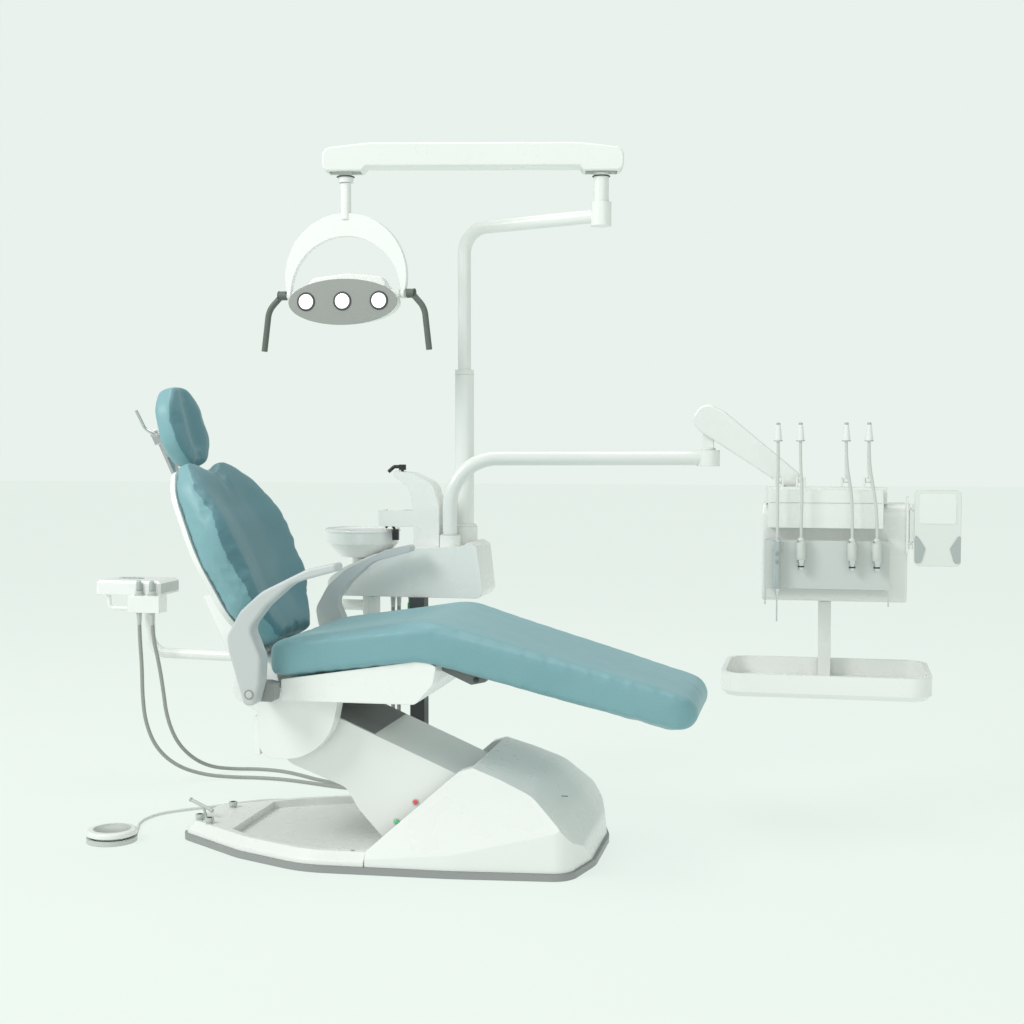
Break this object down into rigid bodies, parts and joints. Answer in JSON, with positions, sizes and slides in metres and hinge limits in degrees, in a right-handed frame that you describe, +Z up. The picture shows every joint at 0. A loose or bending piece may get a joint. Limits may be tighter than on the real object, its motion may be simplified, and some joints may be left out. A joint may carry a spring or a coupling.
{
  "type": "dental chair",
  "caption": "Powered patient chair for dentistry with a reclining back, lifting seat, cuspidor unit, operating lamp, instrument console, assistant's element and foot controls.",
  "frame": {"origin": "on the floor in the middle of the four floor anchors", "axes": "+X towards the patient's feet, +Y towards the patient's left where the cuspidor unit stands, +Z up"},
  "size_m": [2.4223, 1.0323, 1.775],
  "materials": {
    "white_shell": "glossy",
    "grey_cap": "satin",
    "grey_steel": "satin",
    "white_metal": "glossy",
    "dark_metal": "satin",
    "steel": "brushed",
    "chrome": "polished",
    "upholstery": "satin",
    "arm_grey": "satin",
    "lamp_grey": "glossy",
    "lens": "clear",
    "grip_grey": "satin",
    "panel_grey": "satin",
    "hose_grey": "satin",
    "hose_white": "satin",
    "bowl_white": "glossy",
    "black_plastic": "satin",
    "motor_grey": "satin",
    "viewer_white": "satin"
  },
  "bodies": {
    "base": {"base_plate": "grey_steel", "deck_cover": "white_shell", "nose_cover": "white_shell", "lift_actuator": "motor_grey", "unit_column": "dark_metal", "unit_body": "white_shell", "pole_lower": "white_metal", "pedal_base": "grey_cap", "pedal_hose": "hose_white", "suction_hose_a": "hose_grey", "suction_hose_b": "hose_grey"},
    "pedal": {"pedal_cap": "white_shell"},
    "joystick": {"joystick": "grey_cap"},
    "button_near": {"foot_button_near": "grey_cap"},
    "button_rear": {"foot_button_rear": "grey_cap"},
    "button_far": {"foot_button_far": "grey_cap"},
    "lift_arm": {"lift_arm": "white_metal"},
    "rod": {"parallel_rod": "steel"},
    "seat": {"seat_carriage": "white_metal", "seat_cover": "white_shell", "seat_cushion": "upholstery", "armrest_brackets": "grey_steel"},
    "armrest_near": {"armrest_near": "arm_grey"},
    "armrest_far": {"armrest_far": "arm_grey"},
    "back": {"back_shell": "white_shell", "back_cushion": "upholstery"},
    "head_bar": {"headrest_bar": "chrome"},
    "headrest": {"headrest_mount": "white_metal", "headrest_cushion": "upholstery"},
    "bowl": {"cuspidor_bowl": "bowl_white"},
    "spout": {"water_spout": "black_plastic"},
    "lamp_pole": {"lamp_pole": "white_metal"},
    "lamp_elbow": {"lamp_elbow": "white_metal"},
    "lamp_bar": {"lamp_bar": "white_shell"},
    "lamp_hanger": {"lamp_hanger": "white_metal"},
    "lamp_yoke": {"lamp_yoke": "white_shell"},
    "lamp_head": {"lamp_head": "white_shell", "lamp_face": "lamp_grey", "lamp_lenses": "lens", "lamp_handles": "grip_grey"},
    "delivery_arm": {"delivery_arm": "white_metal"},
    "knuckle": {"balance_knuckle": "white_metal"},
    "balance_arm": {"balance_arm": "white_shell"},
    "console_stem": {"console_stem": "steel"},
    "console": {"console_body": "white_shell", "instrument_panel": "panel_grey", "handpieces": "chrome", "handpiece_hose_1": "hose_white", "handpiece_hose_2": "hose_white", "handpiece_hose_3": "hose_white", "handpiece_hose_4": "hose_white"},
    "whip_1": {"whip_arm_1": "white_metal"},
    "whip_2": {"whip_arm_2": "white_metal"},
    "whip_3": {"whip_arm_3": "white_metal"},
    "whip_4": {"whip_arm_4": "white_metal"},
    "tray": {"instrument_tray": "white_shell"},
    "viewer": {"film_viewer": "viewer_white"},
    "assistant": {"assistant_arm": "white_metal", "assistant_console": "white_shell", "suction_handpieces": "grey_cap"}
  },
  "joints": [
    {"name": "pedal_press", "type": "slide", "parent": "base", "child": "pedal", "axis": [0, 0, -1], "range_m": [0, 0.005], "stiffness_N_per_m": 1500},
    {"name": "joystick_tilt", "type": "hinge", "parent": "base", "child": "joystick", "pos_m": [-0.492, -0.052, 0.043], "axis": [0, 1, 0], "range_deg": [-10, 10], "stiffness_Nm_per_rad": 2},
    {"name": "button_near", "type": "slide", "parent": "base", "child": "button_near", "axis": [0, 0, -1], "range_m": [0, 0.004], "stiffness_N_per_m": 800},
    {"name": "button_rear", "type": "slide", "parent": "base", "child": "button_rear", "axis": [0, 0, -1], "range_m": [0, 0.004], "stiffness_N_per_m": 800},
    {"name": "button_far", "type": "slide", "parent": "base", "child": "button_far", "axis": [0, 0, -1], "range_m": [0, 0.004], "stiffness_N_per_m": 800},
    {"name": "lift", "type": "hinge", "parent": "base", "child": "lift_arm", "pos_m": [0.225, 0, 0.118], "axis": [0, 1, 0], "range_deg": [0, 30]},
    {"name": "rod_turn", "type": "hinge", "parent": "base", "child": "rod", "pos_m": [0.225, 0.084, 0.073], "axis": [0, 1, 0], "range_deg": [0, 30]},
    {"name": "seat_level", "type": "hinge", "parent": "lift_arm", "child": "seat", "pos_m": [-0.195, 0, 0.3], "axis": [0, 1, 0], "range_deg": [-30, 0]},
    {"name": "armrest_near_swing", "type": "hinge", "parent": "seat", "child": "armrest_near", "pos_m": [-0.262, -0.309, 0.414], "axis": [0, -1, 0], "range_deg": [0, 80]},
    {"name": "armrest_far_swing", "type": "hinge", "parent": "seat", "child": "armrest_far", "pos_m": [-0.262, 0.309, 0.414], "axis": [0, -1, 0], "range_deg": [0, 80]},
    {"name": "recline", "type": "hinge", "parent": "seat", "child": "back", "pos_m": [-0.318, 0, 0.415], "axis": [0, -1, 0], "range_deg": [0, 60]},
    {"name": "headrest_slide", "type": "slide", "parent": "back", "child": "head_bar", "axis": [-0.4226, 0, 0.9063], "range_m": [0, 0.09]},
    {"name": "headrest_tilt", "type": "hinge", "parent": "head_bar", "child": "headrest", "pos_m": [-0.63493, 0, 1.0142], "axis": [0, 1, 0], "range_deg": [-30, 8]},
    {"name": "bowl_turn", "type": "hinge", "parent": "base", "child": "bowl", "pos_m": [-0.242, 0.47, 0.66], "axis": [0, 0, 1], "range_deg": [-45, 45]},
    {"name": "spout_swivel", "type": "hinge", "parent": "base", "child": "spout", "pos_m": [-0.118, 0.442, 0.905], "axis": [0, 0, 1], "range_deg": [-40, 40]},
    {"name": "pole_swivel", "type": "hinge", "parent": "base", "child": "lamp_pole", "pos_m": [0.045, 0.5, 1.18], "axis": [0, 0, 1], "range_deg": [-60, 60]},
    {"name": "lamp_swivel", "type": "hinge", "parent": "lamp_pole", "child": "lamp_elbow", "pos_m": [0.445, 0.38, 1.63], "axis": [0, 0, 1], "range_deg": [-90, 90]},
    {"name": "lamp_arm_tilt", "type": "hinge", "parent": "lamp_elbow", "child": "lamp_bar", "pos_m": [0.445, 0.38, 1.735], "axis": [-0.1933, 0.9811, 0], "range_deg": [-20, 25]},
    {"name": "lamp_level", "type": "hinge", "parent": "lamp_bar", "child": "lamp_hanger", "pos_m": [-0.215, 0.25, 1.735], "axis": [-0.1933, 0.9811, 0], "range_deg": [-25, 20]},
    {"name": "lamp_yaw", "type": "hinge", "parent": "lamp_hanger", "child": "lamp_yoke", "pos_m": [-0.215, 0.25, 1.66], "axis": [0, 0, 1], "range_deg": [-90, 90]},
    {"name": "lamp_head_tilt", "type": "hinge", "parent": "lamp_yoke", "child": "lamp_head", "pos_m": [-0.215, 0.25, 1.384], "axis": [1, 0, 0], "range_deg": [-45, 45]},
    {"name": "delivery_swivel", "type": "hinge", "parent": "base", "child": "delivery_arm", "pos_m": [0.023, 0.42, 0.7], "axis": [0, 0, 1], "range_deg": [-9, 22]},
    {"name": "balance_swivel", "type": "hinge", "parent": "delivery_arm", "child": "knuckle", "pos_m": [0.711, 0.612, 0.96], "axis": [0, 0, -1], "range_deg": [-60, 30]},
    {"name": "balance_tilt", "type": "hinge", "parent": "knuckle", "child": "balance_arm", "pos_m": [0.711, 0.612, 1.05], "axis": [0, -1, 0], "range_deg": [-10, 45]},
    {"name": "console_level", "type": "hinge", "parent": "balance_arm", "child": "console_stem", "pos_m": [0.933, 0.612, 0.893], "axis": [0, -1, 0], "range_deg": [-45, 10]},
    {"name": "console_swivel", "type": "hinge", "parent": "console_stem", "child": "console", "pos_m": [0.933, 0.612, 0.78], "axis": [0, 0, 1], "range_deg": [-15, 60]},
    {"name": "whip_1_tilt", "type": "hinge", "parent": "console", "child": "whip_1", "pos_m": [0.906, 0.556, 0.892], "axis": [1, 0, 0], "range_deg": [0, 20], "stiffness_Nm_per_rad": 2, "springref_deg": -8, "deforming": ["handpiece_hose_1"]},
    {"name": "whip_2_tilt", "type": "hinge", "parent": "console", "child": "whip_2", "pos_m": [0.964, 0.556, 0.892], "axis": [1, 0, 0], "range_deg": [0, 20], "stiffness_Nm_per_rad": 2, "springref_deg": -8, "deforming": ["handpiece_hose_2"]},
    {"name": "whip_3_tilt", "type": "hinge", "parent": "console", "child": "whip_3", "pos_m": [1.082, 0.556, 0.892], "axis": [1, 0, 0], "range_deg": [0, 20], "stiffness_Nm_per_rad": 2, "springref_deg": -8, "deforming": ["handpiece_hose_3"]},
    {"name": "whip_4_tilt", "type": "hinge", "parent": "console", "child": "whip_4", "pos_m": [1.14, 0.556, 0.892], "axis": [1, 0, 0], "range_deg": [0, 20], "stiffness_Nm_per_rad": 2, "springref_deg": -8, "deforming": ["handpiece_hose_4"]},
    {"name": "tray_swivel", "type": "hinge", "parent": "console", "child": "tray", "pos_m": [1.03, 0.64, 0.57], "axis": [0, 0, 1], "range_deg": [-45, 45]},
    {"name": "viewer_swing", "type": "hinge", "parent": "console", "child": "viewer", "pos_m": [1.252, 0.528, 0.77], "axis": [0, 0, 1], "range_deg": [-45, 45]},
    {"name": "assistant_swing", "type": "hinge", "parent": "base", "child": "assistant", "pos_m": [-0.205, 0.43, 0.54], "axis": [0, 0, 1], "range_deg": [-40, 12], "deforming": ["suction_hose_a", "suction_hose_b"]}
  ],
  "couplings": [
    {"joint": "rod_turn", "follows": "lift", "ratio": 1},
    {"joint": "seat_level", "follows": "lift", "ratio": -1},
    {"joint": "lamp_level", "follows": "lamp_arm_tilt", "ratio": -1},
    {"joint": "console_level", "follows": "balance_tilt", "ratio": -1}
  ]
}
